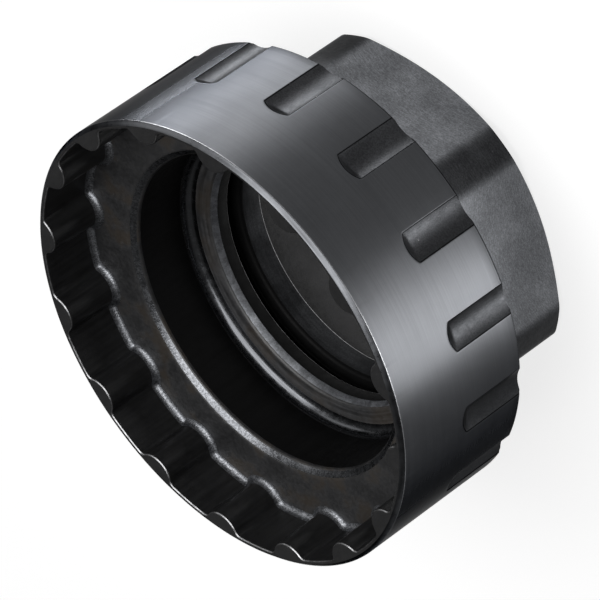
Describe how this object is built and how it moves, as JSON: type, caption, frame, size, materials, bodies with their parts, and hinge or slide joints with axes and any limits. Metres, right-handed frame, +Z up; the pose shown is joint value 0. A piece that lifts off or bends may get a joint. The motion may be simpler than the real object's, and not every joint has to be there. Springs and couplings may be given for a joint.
{
  "type": "chainring lockring tool",
  "caption": "Round steel socket with an inner ring of teeth, notched outer barrel and hexagonal end, bored right through.",
  "frame": {"origin": "centre of the end face that the tool stands on, on the bore's axis", "axes": "+Z up the bore's axis towards the toothed socket; +X through the middle of a drive notch and of a hexagon flat"},
  "size_m": [0.044, 0.044, 0.0257],
  "materials": {
    "black_steel": "turned steel with a black oxide finish, brighter on its bevels"
  },
  "bodies": {
    "root": {"lockring_tool": "black_steel"}
  },
  "joints": []
}
